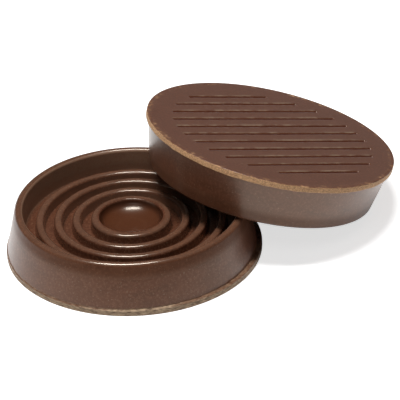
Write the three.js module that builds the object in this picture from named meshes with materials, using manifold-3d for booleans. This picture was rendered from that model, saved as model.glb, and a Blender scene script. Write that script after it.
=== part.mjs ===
// A pair of moulded rubber caster cups, the cups that keep furniture casters and legs off a floor.
// One cup stands on its grooved base. The other lies mouth down, leaning on the first cup's rim.
// Millimetres, +Z up. The origin is on the floor, under the middle of the pair.
import * as THREE from 'three';
import { mergeVertices } from 'three/addons/utils/BufferGeometryUtils.js';
import Module from 'manifold-3d';

// Outside of the cup
const BASE_RADIUS = 38.1; // a nominal 3 inch cup
const CUP_HEIGHT = 15.2;
const BAND_HEIGHT = 2.1; // the trimmed edge round the base
const BAND_LIP = 0.3; // how far that edge stands proud of the wall at its narrowest
const BAND_SHIFT = 0.6; // how far off centre the standing cup's edge was trimmed
const EDGE_BREAK = 0.25;

// Rim
const RIM_RADIUS = 34.3;
const RIM_WIDTH = 2.2;
const RIM_FILLET = 0.8;

// Seat: concentric ridges, all of one height, round a dish in a slightly higher ring
const FLOOR_THICKNESS = 7.5;
const WALL_DRAFT = 0.45; // how much narrower the mouth is at the floor than at the rim
const WALL_FILLET = 0.8;
const RIDGE_HEIGHT = 3.3;
const RIDGE_WIDTH = 2.05;
const RIDGE_PITCH = 5.42;
const RIDGE_DRAFT = 0.25; // how far each flank spreads at its foot
const RIDGE_FILLET = 0.7;
const LEAST_CHANNEL = 1.2; // narrowest channel between the wall and the outer ridge
const DISH_RADIUS = 9.55;
const DISH_DEPTH = 3.9;
const DISH_EDGE_FILLET = 0.4;
const CENTRE_RING_WIDTH = 2.2;
const CENTRE_RISE = 0.4; // how far the centre ring stands above the ridges

// Grip grooves across the underside
const GROOVE_PITCH = 5.42;
const GROOVE_WIDTH = 1.0;
const GROOVE_DEPTH = 0.6;
const GROOVE_MARGIN = 7.0; // from the edge of the base to the ends of the grooves
const GROOVE_SHIFT = 0.65; // how far the middle groove is set over to one side
const GROOVE_STEP = 0.14; // how much further each next groove is set over

// How the second cup lies against the first
const LEAN_DIRECTION = THREE.MathUtils.degToRad(27.15);
const RIM_OVERLAP = 24.42; // how far the two mouths overlap in plan
const REST_CLEARANCE = 0.3;
const GROOVE_TURN = THREE.MathUtils.degToRad(1.8); // of its grooves from the lean direction

// Facets
const TURN_SEGMENTS = 48;
const FILLET_STEPS = 2;
const DISH_STEPS = 6;
const GROOVE_END_STEPS = 4;
const REST_SAMPLES = 720;
const REST_HALVINGS = 40;

const WALL_BASE = BASE_RADIUS - BAND_LIP - BAND_SHIFT;
const RIDGE_TOP = FLOOR_THICKNESS + RIDGE_HEIGHT;
const MOUTH_RADIUS = RIM_RADIUS - RIM_WIDTH;
const WALL_FOOT = MOUTH_RADIUS - WALL_DRAFT;
const CENTRE_RING_RADIUS = DISH_RADIUS + CENTRE_RING_WIDTH;
const CENTRE_TOP = RIDGE_TOP + CENTRE_RISE;

const wasm = await Module();
wasm.setup();

// Replaces a corner of an outline by an arc, no larger than the two edges leave room for.
function filletedCorner(before, corner, after, fillet) {
  const back = before.clone().sub(corner);
  const on = after.clone().sub(corner);
  const room = 0.49 * Math.min(back.length(), on.length());
  back.normalize();
  on.normalize();
  const half = Math.acos(THREE.MathUtils.clamp(back.dot(on), -1, 1)) / 2;
  const reach = Math.min(fillet / Math.tan(half), room);
  const radius = reach * Math.tan(half);
  const middle = back.clone().add(on).normalize().multiplyScalar(radius / Math.sin(half)).add(corner);
  const start = back.multiplyScalar(reach).add(corner).sub(middle);
  const end = on.multiplyScalar(reach).add(corner).sub(middle);
  const sweep = Math.atan2(start.cross(end), start.dot(end));
  const arc = [];
  for (let step = 0; step <= FILLET_STEPS; step += 1) {
    const turn = (sweep * step) / FILLET_STEPS;
    arc.push(start.clone().rotateAround(new THREE.Vector2(), turn).add(middle));
  }
  return arc;
}

// Turns a list of corners [radius, height, fillet] into the points of an outline.
function filletedOutline(corners) {
  const points = corners.map(([radius, height]) => new THREE.Vector2(radius, height));
  return points.flatMap((point, i) => {
    const fillet = corners[i][2] ?? 0;
    return fillet > 0 ? filletedCorner(points[i - 1], point, points[i + 1], fillet) : [point];
  });
}

function ridgeCorners(outerRadius) {
  const innerRadius = outerRadius - RIDGE_WIDTH;
  return [
    [outerRadius + RIDGE_DRAFT, FLOOR_THICKNESS],
    [outerRadius, RIDGE_TOP, RIDGE_FILLET],
    [innerRadius, RIDGE_TOP, RIDGE_FILLET],
    [innerRadius - RIDGE_DRAFT, FLOOR_THICKNESS],
  ];
}

// The centre ring and the dish inside it, a flattened bowl that is steep at its brink.
function dishCorners() {
  const corners = [
    [CENTRE_RING_RADIUS + RIDGE_DRAFT, FLOOR_THICKNESS],
    [CENTRE_RING_RADIUS, CENTRE_TOP, RIDGE_FILLET],
    [DISH_RADIUS, CENTRE_TOP, DISH_EDGE_FILLET],
  ];
  for (let step = 1; step < DISH_STEPS; step += 1) {
    const turn = (Math.PI / 2) * (step / DISH_STEPS);
    corners.push([DISH_RADIUS * Math.cos(turn), CENTRE_TOP - DISH_DEPTH * Math.sin(turn)]);
  }
  corners.push([0, CENTRE_TOP - DISH_DEPTH]);
  return corners;
}

// Half the cup's section, from the middle of the underside round the outside and back to the axis.
function cupOutline() {
  const roomForRidges = WALL_FOOT - LEAST_CHANNEL - CENTRE_RING_RADIUS;
  const ridgeCount = Math.max(0, Math.floor(roomForRidges / RIDGE_PITCH));
  const corners = [
    [0, 0],
    [BASE_RADIUS, 0, EDGE_BREAK],
    [BASE_RADIUS, BAND_HEIGHT, EDGE_BREAK],
    [WALL_BASE, BAND_HEIGHT],
    [RIM_RADIUS, CUP_HEIGHT, RIM_FILLET],
    [MOUTH_RADIUS, CUP_HEIGHT, RIM_FILLET],
    [WALL_FOOT, FLOOR_THICKNESS, WALL_FILLET],
  ];
  for (let ridge = ridgeCount; ridge > 0; ridge -= 1) {
    corners.push(...ridgeCorners(CENTRE_RING_RADIUS + ridge * RIDGE_PITCH));
  }
  corners.push(...dishCorners());
  return filletedOutline(corners);
}

// A closed geometry as a solid that can be cut.
function toSolid(geometry) {
  geometry.deleteAttribute('normal');
  geometry.deleteAttribute('uv');
  const merged = mergeVertices(geometry);
  const corners = merged.index.array;
  const triVerts = [];
  for (let i = 0; i < corners.length; i += 3) {
    const [a, b, c] = corners.slice(i, i + 3);
    if (a !== b && b !== c && c !== a) {
      triVerts.push(a, b, c);
    }
  }
  const vertProperties = new Float32Array(merged.attributes.position.array);
  const mesh = new wasm.Mesh({ numProp: 3, vertProperties, triVerts: new Uint32Array(triVerts) });
  return new wasm.Manifold(mesh);
}

function toGeometry(solid) {
  const { vertProperties, triVerts } = solid.getMesh();
  const geometry = new THREE.BufferGeometry();
  geometry.setAttribute('position', new THREE.BufferAttribute(vertProperties, 3));
  geometry.setIndex(new THREE.BufferAttribute(triVerts, 1));
  geometry.computeVertexNormals();
  return geometry;
}

// A round-ended cutter that leaves one groove in the underside, along X about a given middle.
function grooveCutter(along, offset, halfLength) {
  const radius = GROOVE_WIDTH / 2;
  const straight = halfLength - radius;
  const slot = new THREE.Shape();
  slot.absarc(straight, 0, radius, -Math.PI / 2, Math.PI / 2);
  slot.absarc(-straight, 0, radius, Math.PI / 2, (3 * Math.PI) / 2);
  const cutter = new THREE.ExtrudeGeometry(slot, {
    depth: 2 * GROOVE_DEPTH,
    curveSegments: GROOVE_END_STEPS,
    bevelEnabled: false,
  });
  cutter.translate(along, offset, -GROOVE_DEPTH);
  return toSolid(cutter);
}

// Every groove ends on one circle, so the ones near the edge are shorter. Each is set over a little.
function cutGrooves(body) {
  const reach = BASE_RADIUS - GROOVE_MARGIN;
  const rows = Math.floor(reach / GROOVE_PITCH);
  let grooved = body;
  for (let row = -rows; row <= rows; row += 1) {
    const offset = row * GROOVE_PITCH;
    const along = GROOVE_SHIFT + row * GROOVE_STEP;
    const halfLength = Math.sqrt(reach ** 2 - offset ** 2);
    if (halfLength > GROOVE_WIDTH) {
      grooved = grooved.subtract(grooveCutter(along, offset, halfLength));
    }
  }
  return grooved;
}

// Moves the trimmed edge sideways and leaves the wall above it where it is.
function shiftBand(body, shift) {
  const insideBand = (WALL_BASE + BASE_RADIUS - EDGE_BREAK) / 2;
  const places = body.attributes.position;
  for (let i = 0; i < places.count; i += 1) {
    if (Math.hypot(places.getX(i), places.getY(i)) > insideBand) {
      places.setX(i, places.getX(i) + shift);
    }
  }
}

function cupGeometry(outline, bandShift) {
  const body = new THREE.LatheGeometry(outline, TURN_SEGMENTS);
  body.rotateX(Math.PI / 2);
  shiftBand(body, bandShift);
  return toGeometry(cutGrooves(toSolid(body)));
}

// Distance from a point, given by its radius and height, to the cup's section; negative inside it.
function distanceToSection(outline, radius, height) {
  let nearest = Infinity;
  let inside = false;
  for (let i = 0; i < outline.length; i += 1) {
    const a = outline[i];
    const b = outline[(i + 1) % outline.length];
    const along = b.clone().sub(a);
    const share = ((radius - a.x) * along.x + (height - a.y) * along.y) / along.lengthSq();
    const t = THREE.MathUtils.clamp(share, 0, 1);
    const onAxis = a.x === 0 && b.x === 0;
    if (!onAxis) {
      nearest = Math.min(nearest, Math.hypot(radius - a.x - t * along.x, height - a.y - t * along.y));
    }
    if (a.y > height !== b.y > height && radius < a.x + (along.x * (height - a.y)) / along.y) {
      inside = !inside;
    }
  }
  return inside ? -nearest : nearest;
}

// Least gap between a cup that stands at the origin and the surface of one moved there by a matrix.
function leastGap(outline, matrix) {
  const top = Math.max(...outline.map((point) => point.y));
  const place = new THREE.Vector3();
  let least = Infinity;
  for (const { x: radius, y: height } of outline) {
    for (let sample = 0; sample < REST_SAMPLES; sample += 1) {
      const turn = (2 * Math.PI * sample) / REST_SAMPLES;
      place.set(radius * Math.cos(turn), radius * Math.sin(turn), height).applyMatrix4(matrix);
      const from = Math.hypot(place.x, place.y);
      const farOff = Math.max(place.z - top, from - BASE_RADIUS, -place.z);
      if (farOff < least) {
        least = Math.min(least, distanceToSection(outline, from, place.z));
      }
    }
  }
  return least;
}

// Sets a cup mouth down at a tilt, its lowest edge on the floor and its mouth overlapping the first.
function layDown(cup, outline, tilt) {
  const spacing = 2 * RIM_RADIUS - RIM_OVERLAP;
  const reachDown = outline.map(({ x, y }) => y * Math.cos(tilt) + x * Math.sin(tilt));
  cup.rotation.set(Math.PI, tilt, GROOVE_TURN, 'YXZ');
  cup.position.set(spacing + CUP_HEIGHT * Math.sin(tilt), 0, Math.max(...reachDown));
  cup.updateMatrix();
}

// Tilts the cup down until its rim clears the first cup's rim by the resting clearance.
function leanOn(cup, outline) {
  let low = 0;
  let high = Math.PI / 3;
  for (let halving = 0; halving < REST_HALVINGS; halving += 1) {
    const tilt = (low + high) / 2;
    layDown(cup, outline, tilt);
    const gap = Math.min(leastGap(outline, cup.matrix), leastGap(outline, cup.matrix.clone().invert()));
    if (gap < REST_CLEARANCE) {
      low = tilt;
    } else {
      high = tilt;
    }
  }
  layDown(cup, outline, high);
}

function cupMesh(name, geometry) {
  const rubber = new THREE.MeshStandardMaterial({ color: 0x5f4237, roughness: 0.5, metalness: 0 });
  const cup = new THREE.Mesh(geometry, rubber);
  cup.name = name;
  return cup;
}

const outline = cupOutline();
const standing = cupMesh('standing_cup', cupGeometry(outline, BAND_SHIFT));
const leaning = cupMesh('leaning_cup', cupGeometry(outline, 0));
leanOn(leaning, outline);

const lean = new THREE.Group();
lean.rotation.z = LEAN_DIRECTION;
lean.add(leaning);

const pair = new THREE.Group();
pair.add(standing, lean);
pair.updateMatrixWorld(true);
const box = new THREE.Box3().setFromObject(pair, true);
const middle = box.getCenter(new THREE.Vector3());
pair.position.set(-middle.x, -middle.y, -box.min.z);

export default pair;
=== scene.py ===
# %% [markdown]
# A pair of rubber caster cups.
#
# A caster cup is a thick rubber saucer that goes under a furniture wheel or leg, so that the load
# neither rolls away nor dents the floor. Each cup is one moulding: a tapered wall, a ridged seat
# inside the rim, and a flat underside with grip grooves. One cup stands on the floor. The other has
# been put down the wrong way up and leans on the rim of the first.
#
# The imported model gives the frame: where each cup lies and how large it is. Its cups are faceted, so
# this lesson models one smooth cup, copies it, and puts each copy where its facets are.

# %% Load the frame
import math

import bpy
from mathutils import Matrix, Quaternion, Vector, noise


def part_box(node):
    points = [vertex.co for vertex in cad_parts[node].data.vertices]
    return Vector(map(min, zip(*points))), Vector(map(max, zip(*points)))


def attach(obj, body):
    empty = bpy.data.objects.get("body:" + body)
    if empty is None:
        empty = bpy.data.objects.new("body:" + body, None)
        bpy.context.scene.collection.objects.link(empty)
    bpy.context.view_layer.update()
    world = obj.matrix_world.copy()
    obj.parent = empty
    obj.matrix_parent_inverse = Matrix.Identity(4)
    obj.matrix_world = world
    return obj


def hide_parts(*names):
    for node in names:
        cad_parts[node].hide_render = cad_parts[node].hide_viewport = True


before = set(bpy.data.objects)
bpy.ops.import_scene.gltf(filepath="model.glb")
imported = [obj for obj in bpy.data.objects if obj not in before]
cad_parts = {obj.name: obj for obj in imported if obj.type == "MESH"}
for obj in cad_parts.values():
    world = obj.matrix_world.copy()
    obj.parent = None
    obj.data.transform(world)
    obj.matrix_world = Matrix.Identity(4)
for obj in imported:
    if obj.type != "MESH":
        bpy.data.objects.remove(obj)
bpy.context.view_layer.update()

MM = 0.001

# %% [markdown]
# Where each cup lies.
#
# A cup has its own axes: its underside is the plane z = 0, its mouth faces +z, and its grip grooves run
# along x. The standing cup's axes are the frame's, moved sideways: to the middle of its box, less the
# little by which its edge was trimmed off centre. The leaning cup's could be typed in as angles, but it
# is safer to measure them. The underside is by far the largest flat face of a cup, so the faces are
# sorted by the way they point, and the direction with the most area wins.

# %% Measure where the cups lie
BAND_SHIFT = 0.6  # how far off centre the standing cup's edge was trimmed
GROOVE_TURN = math.radians(1.8)  # of the leaning cup's grooves from its line of steepest fall
SAME_WAY = 0.02  # how far apart two directions may be to count as one


def outward_way(node):
    """The direction in which a cup's flat underside faces."""
    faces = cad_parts[node].data.polygons
    areas = {}
    for face in faces:
        way = tuple(round(value, 2) for value in face.normal)
        areas[way] = areas.get(way, 0) + face.area
    best = Vector(max(areas, key=areas.get))
    flat = [face for face in faces if (face.normal - best).length < SAME_WAY]
    return sum((face.normal * face.area for face in flat), Vector()).normalized()


def leaning_axes(node, outward):
    """The leaning cup's own axes as a matrix, its grooves running nearly straight downhill."""
    downhill = (Vector((outward.x, outward.y, 0)) - outward * (1 - outward.z ** 2)).normalized()
    along = Matrix.Rotation(-GROOVE_TURN, 3, outward) @ downhill
    turn = Matrix((along, along.cross(outward), -outward))
    own = [turn @ vertex.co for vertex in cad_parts[node].data.vertices]
    across = [(min(co[axis] for co in own) + max(co[axis] for co in own)) / 2 for axis in (0, 1)]
    middle = Vector((*across, min(co.z for co in own)))
    return Matrix.Translation(turn.transposed() @ middle) @ turn.transposed().to_4x4()


standing_low, standing_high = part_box("standing_cup")
band_middle = (standing_low + standing_high) / 2
standing_place = Matrix.Translation((band_middle.x - BAND_SHIFT * MM, band_middle.y, standing_low.z))
leaning_outward = outward_way("leaning_cup")
leaning_place = leaning_axes("leaning_cup", leaning_outward)
print("standing cup at, mm:", [round(v / MM, 3) for v in standing_place.translation])
print("leaning cup at, mm:", [round(v / MM, 3) for v in leaning_place.translation],
      "tilted", round(math.degrees(leaning_outward.angle(Vector((0, 0, 1)))), 2), "degrees")

# %% [markdown]
# The cup's section.
#
# The rubber is pressed in a round mould, so the whole cup apart from its grooves is one section turned
# about the axis. It could be built up from a cylinder by insets and extrusions, but with four rings, a
# dish and a rim that takes dozens of steps. Drawing half the section once, corner by corner, and
# spinning it round is how the mould itself was turned. Sizes are in millimetres, radius then height.
# The base is a hair smaller than the faceted one, so that the smooth edge stays inside its box.

# %% Sizes of the section
EDGE_MARGIN = 0.075
BASE_RADIUS = (standing_high.x - standing_low.x) / 2 / MM - EDGE_MARGIN
CUP_HEIGHT = (standing_high.z - standing_low.z) / MM
BAND_HEIGHT = 1.75
BAND_LIP = 0.3 + BAND_SHIFT  # wide enough for the band to be shifted later
RIM_RADIUS = 34.22
RIM_WIDTH = 2.2
FLOOR_HEIGHT = 7.5
WALL_DRAFT = 0.45
RIDGE_TOP = 10.8
CENTRE_TOP = 11.2
RIDGE_WIDTH = 2.3
RIDGE_DRAFT = 0.25
RING_RADII = (28.2, 22.78, 17.35)
CENTRE_RING_RADIUS = 11.75
DISH_RADIUS = 9.55
DISH_DEPTH = 3.9
EDGE_ROUND, RIM_ROUND, LIP_ROUND, WALL_ROUND = 0.2, 1.25, 1.0, 0.8
RIDGE_ROUND, FOOT_ROUND, DISH_ROUND = 0.9, 0.3, 0.25


def ring_corners(outer, inner):
    """Four corners of one seat ridge: foot, top, top, foot."""
    return [(outer + RIDGE_DRAFT, FLOOR_HEIGHT, FOOT_ROUND), (outer, RIDGE_TOP, RIDGE_ROUND),
            (inner, RIDGE_TOP, RIDGE_ROUND), (inner - RIDGE_DRAFT, FLOOR_HEIGHT, FOOT_ROUND)]


corners = [(0, 0, 0), (BASE_RADIUS, 0, EDGE_ROUND), (BASE_RADIUS, BAND_HEIGHT, EDGE_ROUND),
           (BASE_RADIUS - BAND_LIP, BAND_HEIGHT, 0), (RIM_RADIUS, CUP_HEIGHT, RIM_ROUND),
           (RIM_RADIUS - RIM_WIDTH, CUP_HEIGHT, LIP_ROUND),
           (RIM_RADIUS - RIM_WIDTH - WALL_DRAFT, FLOOR_HEIGHT, WALL_ROUND)]
for ring in RING_RADII:
    corners += ring_corners(ring, ring - RIDGE_WIDTH)
corners += [(CENTRE_RING_RADIUS + RIDGE_DRAFT, FLOOR_HEIGHT, FOOT_ROUND),
            (CENTRE_RING_RADIUS, CENTRE_TOP, RIDGE_ROUND), (DISH_RADIUS, CENTRE_TOP, DISH_ROUND)]
print("section corners:", len(corners))

# %% [markdown]
# Drawing the section.
#
# A plane merged to its middle leaves a single vertex, and each extrusion of that vertex draws the next
# straight line. The dish falls away steeply at its brink and is nearly flat in the middle, so its line is
# a quarter circle, made by spinning the last vertex, that is then squashed to the dish's depth.

# %% Draw half the section
TINY, SMALL = 0.001, 0.01  # tolerances for picking points, in millimetres


def at(radius, height):
    return Vector((radius, 0, height)) * MM


def pick(mesh, wanted):
    """Selects the vertices for which wanted(place) is true, and nothing else."""
    for part in (mesh.polygons, mesh.edges, mesh.vertices):
        part.foreach_set("select", [False] * len(part))
    for vertex in mesh.vertices:
        vertex.select = wanted(vertex.co)


def only(piece):
    """Selects one piece and nothing else, and makes it the active one."""
    bpy.ops.object.select_all(action="DESELECT")
    piece.select_set(True)
    bpy.context.view_layer.objects.active = piece


bpy.ops.object.select_all(action="DESELECT")
bpy.ops.mesh.primitive_plane_add(size=MM)
cup = bpy.context.object
cup.name = "cup_moulding"
bpy.ops.object.mode_set(mode="EDIT")
bpy.ops.mesh.merge(type="CENTER")
for (radius, height, _), (next_radius, next_height, _) in zip(corners, corners[1:]):
    step = at(next_radius - radius, next_height - height)
    bpy.ops.mesh.extrude_vertices_move(TRANSFORM_OT_translate={"value": step})

DISH_STEPS = 14
DISH_BRINK = math.radians(15)
brink = at(0, CENTRE_TOP)
for steps, angle in ((1, DISH_BRINK), (DISH_STEPS, math.pi / 2 - DISH_BRINK)):
    bpy.ops.mesh.spin(steps=steps, angle=angle, center=brink, axis=(0, -1, 0))
bpy.ops.object.mode_set(mode="OBJECT")
pick(cup.data, lambda co: co.x < (DISH_RADIUS - SMALL) * MM and co.z > SMALL * MM)
bpy.ops.object.mode_set(mode="EDIT")
bpy.ops.transform.resize(value=(1, 1, DISH_DEPTH / DISH_RADIUS), center_override=brink)
bpy.ops.object.mode_set(mode="OBJECT")
dish_bottom = min((v.co for v in cup.data.vertices if v.co.z > MM), key=lambda co: co.x)
print("section:", len(cup.data.vertices), "points, dish bottom at, mm:",
      [round(v / MM, 3) for v in dish_bottom])

# %% [markdown]
# Rounding the corners.
#
# Rubber doesn't hold a sharp edge, and the light on these small roundings is most of what the eye sees
# of the seat. A bevel modifier would round every edge alike, but rim, ridges and feet all differ. So
# each corner point of the section is bevelled on its own, before the spin, with its own radius. The
# bevel wants the length that it cuts from each line, which follows from the angle between them.

# %% Round each corner of the section
ROUND_STEPS = 5
MOST_OF_A_LINE = 0.45  # the largest share of a line that one rounding may use up


def cut_length(before, corner, after, radius):
    """How far from the corner a rounding of this radius meets the two lines."""
    back, onward = before - corner, after - corner
    wanted = radius * MM / math.tan(back.angle(onward) / 2)
    return min(wanted, MOST_OF_A_LINE * back.length, MOST_OF_A_LINE * onward.length)


points = [at(radius, height) for radius, height, _ in corners]
points.append(at(DISH_RADIUS * math.cos(DISH_BRINK), CENTRE_TOP - DISH_DEPTH * math.sin(DISH_BRINK)))
for index, (_, _, rounding) in enumerate(corners):
    if rounding:
        pick(cup.data, lambda co: (co - points[index]).length < TINY * MM)
        bpy.ops.object.mode_set(mode="EDIT")
        bpy.ops.mesh.bevel(offset=cut_length(*points[index - 1:index + 2], rounding),
                           segments=ROUND_STEPS, affect="VERTICES")
        bpy.ops.object.mode_set(mode="OBJECT")
print("rounded section:", len(cup.data.vertices), "points")

# %% [markdown]
# Turning the section into a cup.
#
# The band round the base gets a few extra points first, because it will be roughened. An edit mode
# spin would turn the section too, but with hundreds of steps it crawls. The Screw modifier is the same
# lathe and takes a moment. Turning can leave the skin inside out, so the normals are worked out again.
# The fan of slim triangles that makes the underside becomes one clean face, ready to be grooved.

# %% Turn the section
TURN_STEPS = 600
BAND_CUTS = 4
BAND_FLAT = 0.1  # the band's straight line starts and ends this far from its corners
WELD = 0.002


def finish_with(piece, kind, **settings):
    """Adds a modifier to a piece and applies it at once."""
    modifier = piece.modifiers.new(kind.lower(), kind)
    for name, value in settings.items():
        setattr(modifier, name, value)
    bpy.context.view_layer.objects.active = piece
    bpy.ops.object.modifier_apply(modifier=modifier.name)


pick(cup.data, lambda co: abs(co.x / MM - BASE_RADIUS) < TINY
     and BAND_FLAT < co.z / MM < BAND_HEIGHT - BAND_FLAT)
bpy.ops.object.mode_set(mode="EDIT")
bpy.ops.mesh.subdivide(number_cuts=BAND_CUTS)
bpy.ops.object.mode_set(mode="OBJECT")
finish_with(cup, "SCREW", axis="Z", angle=math.tau, steps=TURN_STEPS, render_steps=TURN_STEPS,
            use_merge_vertices=True, merge_threshold=WELD * MM)
bpy.ops.object.mode_set(mode="EDIT")
bpy.ops.mesh.select_all(action="SELECT")
bpy.ops.mesh.remove_doubles(threshold=WELD * MM)
bpy.ops.mesh.normals_make_consistent(inside=False)
bpy.ops.object.mode_set(mode="OBJECT")
pick(cup.data, lambda co: co.z < TINY * MM)
bpy.ops.object.mode_set(mode="EDIT")
bpy.ops.mesh.dissolve_faces()
bpy.ops.object.mode_set(mode="OBJECT")
print("turned cup:", len(cup.data.polygons), "faces, height, mm:", round(cup.dimensions.z / MM, 3))

# %% [markdown]
# The trimmed band.
#
# The two halves of the mould meet at the base, and rubber squeezes out between them. That flash is cut
# off afterwards, which leaves a rough, uneven band with upright knife marks. Bump alone would leave
# its outline perfectly round, so the points of the band are pushed in here by noise: a slow wave where
# the knife wandered, and a fast one, stretched upwards, for the marks. Its upper edge is moved up and
# down a little. Nothing moves outwards, so the band stays inside the frame's box.

# %% Roughen the band
KNIFE_WANDER, WANDER_WAVE = 0.03, {"size": 9, "stretch": 3, "seed": 3.7}
KNIFE_MARKS, MARK_WAVE = 0.05, {"size": 0.9, "stretch": 4, "seed": 8.1}
EDGE_WANDER, EDGE_WAVE = 0.16, {"size": 2.2, "stretch": 1, "seed": 5.3}
MARK_LEVEL, MARK_SWING = 0.35, 0.65
BAND_SKIN, BAND_TOP = 0.2, 0.3  # how near to the outside, and to the top, a point has to be


def wave(place, size, stretch, seed):
    """Smooth noise from -1 to 1 whose bumps are size wide and stretch times as tall, in millimetres."""
    squashed = Vector((place.x, place.y, place.z / stretch))
    return noise.noise(squashed / (size * MM) + Vector((seed, seed, seed)))


band_points = 0
for vertex in cup.data.vertices:
    place = vertex.co.copy()
    radius, height = math.hypot(place.x, place.y) / MM, place.z / MM
    if radius > BASE_RADIUS - BAND_LIP - SMALL and height < BAND_HEIGHT + SMALL:
        cut = KNIFE_WANDER * (0.5 + 0.5 * wave(place, **WANDER_WAVE))
        cut += KNIFE_MARKS * max(0.0, MARK_LEVEL + MARK_SWING * wave(place, **MARK_WAVE))
        if radius > BASE_RADIUS - BAND_SKIN:
            vertex.co.xy *= 1 - cut / radius
        if height > BAND_HEIGHT - BAND_TOP:
            vertex.co.z += EDGE_WANDER * MM * wave(place, **EDGE_WAVE)
        band_points += 1
print("band points roughened:", band_points)

# %% [markdown]
# A cutter for one grip groove.
#
# The grooves are shallow, round-ended slots. They could be inset and pushed into the underside one by
# one, but a cutter is easier to get right: a short round peg whose tip is rounded like the bottom of
# the groove, and whose other end flares out, which leaves a soft lip where the groove meets the face.

# %% Model the cutter
GROOVE_WIDTH = 0.52
GROOVE_DEPTH = 0.65
GROOVE_LIP = 0.5
PEG_SIDES = 20
TIP_ROUND, TIP_STEPS = 0.12, 3
LIP_STEPS = 5
PEG_OVERSHOOT = 0.3

bpy.ops.object.select_all(action="DESELECT")
bpy.ops.mesh.primitive_cylinder_add(vertices=PEG_SIDES, radius=GROOVE_WIDTH / 2 * MM,
                                    depth=(GROOVE_DEPTH - GROOVE_LIP) * MM,
                                    location=(0, 0, (GROOVE_DEPTH + GROOVE_LIP) / 2 * MM))
peg = bpy.context.object
bpy.ops.object.transform_apply(location=True)
pick(peg.data, lambda co: co.z > (GROOVE_DEPTH - SMALL) * MM)
bpy.ops.object.mode_set(mode="EDIT")
bpy.ops.mesh.bevel(offset=TIP_ROUND * MM, segments=TIP_STEPS, affect="EDGES")
bpy.ops.object.mode_set(mode="OBJECT")
pick(peg.data, lambda co: co.z < (GROOVE_LIP + SMALL) * MM)
bpy.ops.object.mode_set(mode="EDIT")
width, level = GROOVE_WIDTH / 2, GROOVE_LIP
for lip in range(1, LIP_STEPS + 1):
    turn = math.pi / 2 * lip / LIP_STEPS
    new_width = GROOVE_WIDTH / 2 + GROOVE_LIP * (1 - math.cos(turn))
    new_level = GROOVE_LIP * (1 - math.sin(turn))
    bpy.ops.mesh.extrude_region_move(TRANSFORM_OT_translate={"value": (0, 0, (new_level - level) * MM)})
    bpy.ops.transform.resize(value=(new_width / width, new_width / width, 1), center_override=(0, 0, 0))
    width, level = new_width, new_level
bpy.ops.mesh.extrude_region_move(TRANSFORM_OT_translate={"value": (0, 0, -PEG_OVERSHOOT * MM)})
bpy.ops.mesh.select_all(action="SELECT")
bpy.ops.mesh.normals_make_consistent(inside=False)
bpy.ops.object.mode_set(mode="OBJECT")
print("cutter, mm:", [round(v / MM, 2) for v in peg.dimensions])

# %% [markdown]
# Cutting the grooves.
#
# Eleven grooves lie side by side and all end on one circle, so the outer ones are shorter. For each one
# the peg is copied, its two halves are moved apart until it is as long as the groove, and it is moved to
# its row. Then the pegs become one object and a single Boolean cuts them all.

# %% Cut the grip grooves
GROOVE_PITCH = 5.42
GROOVE_REACH = 30.4
GROOVE_ROWS = 5
GROOVE_SHIFT = 0.65
GROOVE_SLANT = 0.14

pegs = []
for row in range(-GROOVE_ROWS, GROOVE_ROWS + 1):
    only(peg)
    bpy.ops.object.duplicate()
    long_peg = bpy.context.object
    straight = math.sqrt(GROOVE_REACH ** 2 - (row * GROOVE_PITCH) ** 2) - GROOVE_WIDTH / 2
    for side in (-1, 1):
        pick(long_peg.data, lambda co: co.x * side > TINY * MM)
        bpy.ops.object.mode_set(mode="EDIT")
        bpy.ops.transform.translate(value=(side * straight * MM, 0, 0))
        bpy.ops.object.mode_set(mode="OBJECT")
    long_peg.location = Vector((GROOVE_SHIFT + row * GROOVE_SLANT, row * GROOVE_PITCH, 0)) * MM
    pegs.append(long_peg)
bpy.ops.object.select_all(action="DESELECT")
for long_peg in pegs:
    long_peg.select_set(True)
bpy.context.view_layer.objects.active = pegs[0]
bpy.ops.object.join()
cutter = bpy.context.object
finish_with(cup, "BOOLEAN", operation="DIFFERENCE", solver="MANIFOLD", object=cutter)
for tool in (cutter, peg):
    bpy.data.objects.remove(tool)
print("grooved cup:", len(cup.data.polygons), "faces,", len(pegs), "grooves")

# %% [markdown]
# Two cups from one.
#
# Both cups came out of the same mould, so the second is a copy. Their shapes differ in one thing: the
# standing cup's flash was trimmed off centre, which leaves a ledge on one side and hardly any on the
# other. So the points of its band, and only they, are moved sideways.

# %% Copy the cup and shift one band
FOOT_MARGIN, TOP_MARGIN = 0.25, 0.3

only(cup)
bpy.ops.object.duplicate()
standing_cup, leaning_cup = cup, bpy.context.object
for piece, name in ((standing_cup, "standing_rubber_cup"), (leaning_cup, "leaning_rubber_cup")):
    piece.name, piece.data.name = name, name
only(standing_cup)
wall_foot, band_top = (BASE_RADIUS - BAND_LIP + FOOT_MARGIN) * MM, (BAND_HEIGHT + TOP_MARGIN) * MM
pick(standing_cup.data, lambda co: co.xy.length > wall_foot and co.z < band_top)
bpy.ops.object.mode_set(mode="EDIT")
bpy.ops.transform.translate(value=(BAND_SHIFT * MM, 0, 0))
bpy.ops.object.mode_set(mode="OBJECT")
print("band points shifted:", sum(vertex.select for vertex in standing_cup.data.vertices))

# %% [markdown]
# Smooth shading.
#
# The cups are smooth everywhere, but plain smooth shading would bend the light on the flat ridge tops and
# on the underside, because a flat face borrows the normals of the roundings beside it. The Weighted
# Normal modifier lets the large faces decide, so flats stay flat and roundings stay round. After that
# each cup is put in its place.

# %% Shade and place the pair
SMOOTH_BELOW = math.radians(50)

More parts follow.
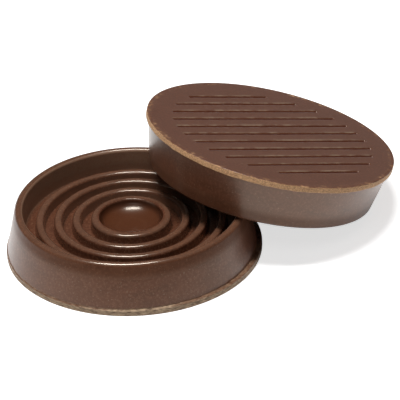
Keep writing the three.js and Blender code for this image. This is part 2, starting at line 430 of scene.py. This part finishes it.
for piece, place in ((standing_cup, standing_place), (leaning_cup, leaning_place)):
    only(piece)
    bpy.ops.object.shade_smooth_by_angle(angle=SMOOTH_BELOW)
    finish_with(piece, "WEIGHTED_NORMAL", keep_sharp=True)
    piece.matrix_world = place
    bpy.ops.object.transform_apply(location=True, rotation=True, scale=True)
    low = [min(v.co[axis] for v in piece.data.vertices) / MM for axis in range(3)]
    high = [max(v.co[axis] for v in piece.data.vertices) / MM for axis in range(3)]
    print(piece.name, "box, mm:", [round(v, 2) for v in low], [round(v, 2) for v in high])

# %% [markdown]
# Reading the rubber's finish.
#
# Both cups are the same brown rubber, but one moulding shows several skins: the satin seat that took its
# shine from the polished mould, the duller wall and underside, and the pale band where the flash was cut
# and the raw rubber shows. The red-brown of the grooves is no skin but painted shade. Painting each as its
# own material would leave hard borders. Instead one material asks where on the cup it is, and mixes colours
# and shine by that. These small helpers add the shader nodes for it.

# %% Helpers for the finish
def put(tree, kind, sockets=(), **settings):
    """Adds a shader node, sets its options, and feeds its inputs with values or other nodes' outputs."""
    node = tree.nodes.new("ShaderNode" + kind)
    for name, value in settings.items():
        setattr(node, name, value)
    for socket, value in dict(sockets).items():
        if isinstance(value, bpy.types.NodeSocket):
            tree.links.new(value, node.inputs[socket])
        else:
            node.inputs[socket].default_value = value
    return node


def compute(tree, how, first, second=0.0):
    """One step of arithmetic on values or other nodes' outputs."""
    return put(tree, "Math", {0: first, 1: second}, operation=how).outputs[0]


def times(tree, value, *factors):
    for factor in factors:
        value = compute(tree, "MULTIPLY", value, factor)
    return value


def plus(tree, first, second):
    return compute(tree, "ADD", first, second)


def fade(tree, value, start, end):
    """0 where value is at start, 1 where it is at end, with a soft step between."""
    return put(tree, "MapRange", {0: value, 1: start, 2: end, 3: 0.0, 4: 1.0},
               interpolation_type="SMOOTHSTEP").outputs[0]


def between(tree, value, rise, fall):
    """1 inside a stretch of value, fading in over rise and out over fall."""
    return times(tree, fade(tree, value, *rise), fade(tree, value, *fall))


def repeat(tree, value, pitch):
    """Where value lies within its pitch: 0.5 on every whole pitch, 0 and 1 half way between."""
    return compute(tree, "FRACT", plus(tree, compute(tree, "DIVIDE", value, pitch), 0.5))


def vectors(tree, how, first, second):
    return put(tree, "VectorMath", {0: first, 1: second}, operation=how).outputs


def mottle(tree, place, size, detail=2.0, roughness=0.5):
    """Noise whose blotches are about size millimetres across."""
    return put(tree, "TexNoise", {"Vector": place, "Scale": 1 / size, "Detail": detail,
                                  "Roughness": roughness}).outputs[0]


def blotches(tree, place, pattern, shows):
    """Where a noise is strong: 0 up to the first strength of shows, 1 from the second."""
    return fade(tree, mottle(tree, place, *pattern), *shows)


def blend_colours(tree, share, below, above):
    node = put(tree, "Mix", {0: share}, data_type="RGBA")
    for socket, colour in ((6, below), (7, above)):
        if isinstance(colour, bpy.types.NodeSocket):
            tree.links.new(colour, node.inputs[socket])
        else:
            node.inputs[socket].default_value = (*colour, 1)
    return node.outputs[2]


def brown(red, green, blue):
    """A colour given as it looks on screen, 0 to 255, in the linear values that a shader wants."""
    return tuple(((v / 255 + 0.055) / 1.055) ** 2.4 for v in (red, green, blue))


MOULDED_DARK, MOULDED_WARM = brown(82, 48, 33), brown(94, 57, 41)
print("moulded rubber, linear:", [round(v, 4) for v in MOULDED_DARK], [round(v, 4) for v in MOULDED_WARM])

# %% [markdown]
# Where on the cup.
#
# Every zone is a share from 0 to 1 that follows from the distance to the cup's axis and the height above
# its underside, in millimetres. Each pair of numbers says where a zone starts and where it is fully there.
# Ridge flanks and groove lips come again at every pitch. The edge of the trimmed band is ragged, so noise
# is added to the height first, and on the standing cup the cut gets narrower towards both sides.

# %% Find the zones of a cup
WALL_SLOPE = 0.223  # about how much nearer to the axis the outside is, per millimetre of height
WALL_SKIN, WALL_TOP, UNDER_RIM = (36.9, 37.2), (14.95, 14.5), (9.5, 13.0)
INNER_WALL, INNER_WALL_FOOT = ((30.8, 31.4), (32.6, 32.2)), (7.0, 8.5)
RIDGE_PITCH = 5.42
FLANK_RADIUS = RING_RADII[0] - RIDGE_WIDTH - RIDGE_DRAFT / 2
FLANK_PLACE, FLANK_HEIGHT = ((0.38, 0.43), (0.62, 0.57)), ((7.4, 8.0), (10.4, 9.8))
SEAT_EDGE = (30.0, 29.0)
TOPS_HEIGHT, TOPS_RADIUS = (10.3, 10.7), (9.8, 10.4)
DISH_EDGE, DISH_BOTTOM, DISH_MARGIN = (9.5, 9.3), (5.0, 6.0), (7.6, 9.2)
UNDERSIDE = (0.05, 0.02)
GROOVE_HEIGHT, GROOVE_FIELD = ((0.1, 0.3), (0.9, 0.8)), (33, 32)
LIP_PLACE, LIP_HEIGHT, LIP_FIELD = ((0.24, 0.30), (0.42, 0.37)), (0.25, 0.1), (30.6, 30.0)
BASE_EDGE, LEDGE_HEIGHT = (36.0, 36.5), ((0.4, 1.0), (2.2, 1.9))
TRIM_LOW, TRIM_SOFT_LOW, TRIM_SOFT_HIGH = 0.1, 0.1, 0.08
SMUDGE_STRETCH = (0.2, 0.2, 1)
# A noise is its size in millimetres, its detail and its roughness, and shows between two strengths
SMEARS, SMEARS_SHOW = (2.2, 3), (0.45, 0.7)
PATCHES, PATCHES_SHOW = (3.5, 4, 0.7), (0.42, 0.62)
GRAIN, GRAIN_SHOWS = (0.75, 3, 0.7), (0.45, 0.68)
SPECKS, SPECKS_SHOW = (0.5, 1), (0.68, 0.74)
TEARS, TEARS_MIDDLE, TEARS_HEIGHT = (1.6, 3), 0.5, 0.6


def zones(tree, here, shifted, trim_high, trim_loss):
    """How far a point belongs to each part of the cup, from 0 to 1."""
    along, across, height = put(tree, "SeparateXYZ", {0: here}).outputs
    radius = vectors(tree, "LENGTH", vectors(tree, "MULTIPLY", here, (1, 1, 0))[0], (0, 0, 0))["Value"]

    slope = plus(tree, radius, times(tree, height, WALL_SLOPE))
    outside = times(tree, fade(tree, slope, *WALL_SKIN), fade(tree, height, *WALL_TOP))
    smears = blotches(tree, vectors(tree, "MULTIPLY", shifted, SMUDGE_STRETCH)[0], SMEARS, SMEARS_SHOW)
    dish = times(tree, fade(tree, radius, *DISH_EDGE), fade(tree, height, *DISH_BOTTOM))
    ridge = repeat(tree, compute(tree, "SUBTRACT", radius, FLANK_RADIUS), RIDGE_PITCH)
    groove = repeat(tree, across, GROOVE_PITCH)
    patches = blotches(tree, shifted, PATCHES, PATCHES_SHOW)

    ragged = compute(tree, "SUBTRACT", mottle(tree, shifted, *TEARS), TEARS_MIDDLE)
    torn = plus(tree, height, times(tree, ragged, TEARS_HEIGHT))
    narrowed = plus(tree, torn, times(tree, compute(tree, "ABSOLUTE", along), trim_loss))
    cut_edge = times(tree, fade(tree, torn, TRIM_LOW - TRIM_SOFT_LOW, TRIM_LOW + TRIM_SOFT_LOW),
                     fade(tree, narrowed, trim_high + TRIM_SOFT_HIGH, trim_high - TRIM_SOFT_HIGH))
    base_edge = fade(tree, radius, *BASE_EDGE)
    return {
        "outside": outside,
        "smudges": times(tree, outside, smears),
        # painted shade: the outside wall darkens towards the rim
        "under_rim": times(tree, outside, fade(tree, height, *UNDER_RIM)),
        # pale dust here also paints light on the inner wall
        "inner_wall": times(tree, between(tree, radius, *INNER_WALL), fade(tree, height, *INNER_WALL_FOOT)),
        # pale dust on these flanks also paints the grey of their shade
        "flanks": times(tree, between(tree, ridge, *FLANK_PLACE), between(tree, height, *FLANK_HEIGHT),
                        fade(tree, radius, *SEAT_EDGE)),
        # pale dust on the tops and rim is partly a painted sheen
        "tops": times(tree, fade(tree, height, *TOPS_HEIGHT), fade(tree, radius, *TOPS_RADIUS)),
        # the whole dish is painted darker as shade
        "dish": dish,
        # painted shade at the dish's steep brink
        "brink": times(tree, dish, fade(tree, radius, *DISH_MARGIN)),
        "underside": fade(tree, height, *UNDERSIDE),
        # painted shade inside the grooves, in red-brown
        "grooves": times(tree, between(tree, height, *GROOVE_HEIGHT), fade(tree, radius, *GROOVE_FIELD)),
        # painted highlight along one lip of each groove, broken into patches
        "lips": times(tree, between(tree, groove, *LIP_PLACE), fade(tree, height, *LIP_HEIGHT),
                      fade(tree, radius, *LIP_FIELD), patches),
        "ledge": times(tree, between(tree, height, *LEDGE_HEIGHT), base_edge),
        "band": times(tree, cut_edge, base_edge),
        "grain": blotches(tree, shifted, GRAIN, GRAIN_SHOWS),
        "specks": blotches(tree, shifted, SPECKS, SPECKS_SHOW),
    }


print("flanks that face the axis are at, mm:",
      [round(FLANK_RADIUS - ring * RIDGE_PITCH, 2) for ring in range(len(RING_RADII))])

# %% [markdown]
# Coats of colour.
#
# Moulded rubber is brown right through, with a faint cloudiness. Over that lie thin coats, each on its own
# zone. Pale dust lies on the inner wall, the flanks, the ridge tops and the rim; it is partly painted
# light:
# it brightens the inner wall, gives the flanks that face the axis the grey of their shade, and gives the
# tops a painted sheen. The outside wall is painted lighter and warmer for the light on it, with dark
# smudges. The underside is greyer. Painted shade darkens the wall below the rim, the dish and its brink,
# and turns the grooves red-brown; a painted highlight lies along one lip of each groove. The raw rubber of
# the trimmed band comes last: greyer on the standing cup, warmer on the leaning one.

# %% Mix the colours
# Pale dust is real in the specks, but on the ridge tops and rim it is also a painted sheen, and on the
# groove lips a painted highlight. Wall dust is real dust that also paints light onto the inner wall and the
# grey of shade onto the flanks that face the axis.
DUST_AND_SHEEN, WALL_DUST_AND_LIGHT, GRAIN_PALE = brown(168, 146, 122), brown(186, 148, 120), brown(124, 82, 60)
# The warm outside colour is painted light, making the outside walls lighter than the seat. The dark one is
# the walls' smudges and the painted shade under the rim.
OUTSIDE_WARM, SMUDGE_AND_RIM_SHADE = brown(112, 64, 40), brown(60, 30, 14)
# The red-brown groove colour is painted shade inside the grooves.
UNDERSIDE_DULL, GROOVE_RED = brown(104, 68, 56), brown(95, 45, 31)
# Both dish colours are painted shade: the first over the whole dish, the darker one at its steep brink.
DISH_DEEP, DISH_SHADE = brown(83, 46, 27), brown(34, 14, 6)
GREY_TRIM = brown(100, 78, 61), brown(188, 162, 133)
WARM_TRIM = brown(157, 114, 79), brown(220, 174, 128)
CLOUDS, CLOUDS_SHOW = (5, 4, 0.6), (0.25, 0.75)
MARKS_SHOW = (0.3, 0.7)
TRIM = None  # stands for the cup's own trim colour
# Painted light among the coats: the tops' sheen, the lips' highlight, the light on the inner and outside
# walls, the grey of shade on the flanks, and the shade under the rim, over the dish, at its brink and in
# the grooves.
COATS = (("inner_wall", 0.3, WALL_DUST_AND_LIGHT), ("flanks", 0.2, WALL_DUST_AND_LIGHT), ("tops", 0.09, DUST_AND_SHEEN),
         ("outside", 0.35, OUTSIDE_WARM), ("smudges", 0.3, SMUDGE_AND_RIM_SHADE), ("underside", 0.45, UNDERSIDE_DULL),
         ("grain", 0.6, GRAIN_PALE), ("specks", 0.26, DUST_AND_SHEEN), ("under_rim", 0.3, SMUDGE_AND_RIM_SHADE),
         ("dish", 0.9, DISH_DEEP), ("brink", 0.7, DISH_SHADE), ("lips", 0.5, DUST_AND_SHEEN),
         ("grooves", 1.0, GROOVE_RED), ("ledge", 0.35, TRIM), ("band", 1.0, TRIM))


def coated(tree, zone, shifted, marks, trim_dark, trim_pale):
    """The rubber's colour: the moulded brown with every coat, painted light and shade among them, laid over
    it in turn.
    """
    trim = blend_colours(tree, fade(tree, marks, *MARKS_SHOW), trim_dark, trim_pale)
    colour = blend_colours(tree, blotches(tree, shifted, CLOUDS, CLOUDS_SHOW), MOULDED_DARK, MOULDED_WARM)
    for part, share, paint in COATS:
        paint = trim if paint is TRIM else paint
        colour = blend_colours(tree, times(tree, zone[part], share), colour, paint)
    return colour


print("coats of colour:", len(COATS))

# %% [markdown]
# Shine and grain.
#
# Roughness follows the same zones: satin in the seat, duller on both walls and below, dry on the band. The
# outside and the dish also mirror less, and the shine is a little warm. Bump carries only what is finer
# than the mesh: the grain of the skin, and the marks along the cut. A Mapping node turns the scene's
# coordinates into the cup's own axes, in millimetres, so the finish follows a cup however it lies.

# %% Make the rubber
WARM_SHINE = (1.0, 0.91, 0.78)
CUT_MARKS, SKIN_GRAIN = (0.35, 3, 0.65), (0.45, 2)
SKIN_LOW, SKIN_HIGH, SATIN_LOW, SATIN_HIGH = 0.3, 0.7, 0.16, 0.2
ROUGHER = (("outside", 0.12), ("inner_wall", 0.2), ("dish", 0.05), ("underside", 0.2), ("band", 0.4))
MIRROR_LEVEL, RIM_DULLING = 0.9, 0.34
SKIN_RELIEF, DISH_SMOOTHING = 0.25, 0.2
BUMP_STRENGTH, BUMP_HEIGHT = 0.35, 0.06


def rubber(name, place, seed, dulling, trim_high, trim_loss, mark_stretch, trim_colours):
    material = bpy.data.materials.new(name)
    material.use_nodes = True
    tree = material.node_tree
    shader = tree.nodes["Principled BSDF"]
    shader.inputs["Specular Tint"].default_value = (*WARM_SHINE, 1)
    own = place.inverted()
    here = put(tree, "Mapping", {"Vector": put(tree, "TexCoord").outputs["Object"],
                                 "Location": own.translation / MM, "Rotation": own.to_euler(),
                                 "Scale": (1 / MM, 1 / MM, 1 / MM)}).outputs[0]
    shifted = vectors(tree, "ADD", here, (seed, seed, seed))[0]
    lengthwise = vectors(tree, "MULTIPLY", shifted, (mark_stretch, mark_stretch, 1))[0]
    marks = mottle(tree, lengthwise, *CUT_MARKS)
    skin = mottle(tree, shifted, *SKIN_GRAIN)
    zone = zones(tree, here, shifted, trim_high, trim_loss)
    tree.links.new(coated(tree, zone, shifted, marks, *trim_colours), shader.inputs["Base Color"])

    rough = put(tree, "MapRange", {0: skin, 1: SKIN_LOW, 2: SKIN_HIGH,
                                   3: SATIN_LOW, 4: SATIN_HIGH}).outputs[0]
    for part, extra in ROUGHER:
        rough = plus(tree, rough, times(tree, zone[part], extra))
    tree.links.new(rough, shader.inputs["Roughness"])

    duller = times(tree, compute(tree, "MAXIMUM", zone["outside"], zone["dish"]), dulling)
    duller = plus(tree, duller, times(tree, zone["under_rim"], RIM_DULLING))
    tree.links.new(compute(tree, "SUBTRACT", MIRROR_LEVEL, duller), shader.inputs["Specular IOR Level"])

    fine = compute(tree, "SUBTRACT", SKIN_RELIEF, times(tree, zone["dish"], DISH_SMOOTHING))
    relief = plus(tree, times(tree, marks, zone["band"]), times(tree, skin, fine))
    bump = put(tree, "Bump", {"Height": relief, "Strength": BUMP_STRENGTH, "Distance": BUMP_HEIGHT * MM})
    tree.links.new(bump.outputs[0], shader.inputs["Normal"])
    return material


standing_finish = {"seed": 0.0, "dulling": 0.44, "trim_high": 1.9, "trim_loss": 0.014,
                   "mark_stretch": 0.2, "trim_colours": GREY_TRIM}
leaning_finish = {"seed": 60.0, "dulling": 0.22, "trim_high": 2.1, "trim_loss": 0.0,
                  "mark_stretch": 0.7, "trim_colours": WARM_TRIM}
for piece, place, finish in ((standing_cup, standing_place, standing_finish),
                             (leaning_cup, leaning_place, leaning_finish)):
    piece.data.materials.clear()
    piece.data.materials.append(rubber(piece.name + "_finish", place, **finish))
    print(piece.name, "has", len(piece.data.materials[0].node_tree.nodes), "finish nodes")

# %% [markdown]
# Handing the cups to the frame.
#
# Each smooth cup stands for the faceted one in the same place and moves with its body.

# %% Tie the cups to the frame
for piece, body, node in ((standing_cup, "standing", "standing_cup"),
                          (leaning_cup, "leaning", "leaning_cup")):
    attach(piece, body)
    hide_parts(node)
    print(piece.name, "rides on", body)

# %% [markdown]
# The table.
#
# The cups were photographed on white. A white floor does the same here, and keeps the soft shadow under
# the cups. The camera sees extra white on it, so that it reads as white paper. The rubber mirrors some
# extra white too, but not from far in front of the pair, from its far right or from the leaning cup's
# shade. Mirrored from everywhere, it would turn the brown walls grey.

# %% Lay the white floor
FLOOR_SIZE = 4
FLOOR_WHITE, FLOOR_ROUGH = 0.9, 0.9
FLOOR_LIFT = 0.68
MIRRORED_LIFT = 0.92
PAPER_FRONT, PAPER_RIGHT, PAPER_SOFT = -0.085, 0.13, 0.04
SHADE_EDGE = (0.035, 0.046)

bpy.ops.object.select_all(action="DESELECT")
bpy.ops.mesh.primitive_plane_add(size=FLOOR_SIZE)
floor = bpy.context.object
floor.name = "white_floor"
paper = bpy.data.materials.new("white_paper")
paper.use_nodes = True
tree = paper.node_tree
sheet = tree.nodes["Principled BSDF"]
sheet.inputs["Base Color"].default_value = (FLOOR_WHITE, FLOOR_WHITE, FLOOR_WHITE, 1)
sheet.inputs["Roughness"].default_value = FLOOR_ROUGH
rays = put(tree, "LightPath")
mirrored = compute(tree, "MAXIMUM", rays.outputs["Is Glossy Ray"], rays.outputs["Is Transmission Ray"])
spot = put(tree, "TexCoord").outputs["Object"]
across, depth, _ = put(tree, "SeparateXYZ", {0: spot}).outputs
# painted reflection: the extra white the rubber mirrors is a glow painted on the floor, left out in the
# leaning cup's shade as a painted shadow
from_shade = vectors(tree, "DISTANCE", spot, leaning_place.translation)["Value"]
lit = times(tree, fade(tree, depth, PAPER_FRONT - PAPER_SOFT, PAPER_FRONT + PAPER_SOFT),
            fade(tree, across, PAPER_RIGHT + PAPER_SOFT, PAPER_RIGHT - PAPER_SOFT),
            fade(tree, from_shade, *SHADE_EDGE))
seen = plus(tree, times(tree, rays.outputs["Is Camera Ray"], FLOOR_LIFT),
            times(tree, mirrored, lit, MIRRORED_LIFT))
lift = put(tree, "Emission", {"Strength": seen})
both = put(tree, "AddShader", {0: sheet.outputs[0], 1: lift.outputs[0]})
tree.links.new(both.outputs[0], tree.nodes["Material Output"].inputs["Surface"])
floor.data.materials.append(paper)
print("floor laid:", floor.name)

# %% [markdown]
# Light.
#
# The bright arcs on the ridges and the spot in the dish all come from one long soft lamp that faces
# straight down, with its long side across the picture. A weak lamp in front fills the walls, and a low,
# warm panel gives the sheen at the left. The rest is even light from the room.

# %% Hang the lamps
WHITE, WARM = (1, 1, 1), (1, 0.92, 0.82)
ROOM_LIGHT = 0.04


def soft_lamp(name, place, aim, size, watts, colour):
    lamp = bpy.data.lights.new(name, "AREA")
    lamp.shape, lamp.size, lamp.size_y, lamp.energy = "RECTANGLE", size[0], size[1], watts
    lamp.color = colour
    holder = bpy.data.objects.new(name, lamp)
    bpy.context.scene.collection.objects.link(holder)
    holder.location = place
    holder.rotation_euler = (Vector(aim) - Vector(place)).to_track_quat("-Z", "Y").to_euler()


soft_lamp("overhead_lamp", place=(-0.09, -0.02, 0.87), aim=(-0.09, -0.02, 0), size=(0.38, 0.12),
          watts=7.6, colour=WHITE)
soft_lamp("front_lamp", place=(-0.2, -0.55, 0.75), aim=(0, 0, 0), size=(0.5, 0.3),
          watts=0.5, colour=WHITE)
soft_lamp("left_panel", place=(-0.95, -0.5, 0.11), aim=(0, 0, 0), size=(1.2, 0.2),
          watts=0.7, colour=WARM)
room = bpy.data.worlds.new("room")
bpy.context.scene.world = room
room.use_nodes = True
background = room.node_tree.nodes["Background"]
background.inputs["Color"].default_value = (*WHITE, 1)
background.inputs["Strength"].default_value = ROOM_LIGHT
bpy.context.scene.view_settings.view_transform = "Standard"
print("lamps:", [light.name for light in bpy.data.lights])

# %% [markdown]
# Camera.
#
# The photograph was taken from about a metre away with a long lens, looking down at the pair at thirty
# degrees and tipped a little to one side.

# %% Set up the camera
LENS, SENSOR = 303.5, 36
ROLL = math.radians(-2.128)
eye, aim = Vector((-20.577, -867.026, 524.465)) * MM, Vector((-0.4, -1.807, 9.87)) * MM
lens = bpy.data.cameras.new("long_lens")
lens.lens, lens.sensor_width = LENS, SENSOR
camera = bpy.data.objects.new("camera", lens)
bpy.context.scene.collection.objects.link(camera)
camera.location = eye
camera.rotation_euler = ((aim - eye).to_track_quat("-Z", "Y") @ Quaternion((0, 0, 1), ROLL)).to_euler()
bpy.context.scene.camera = camera
print("camera", round((aim - eye).length, 3), "m away")
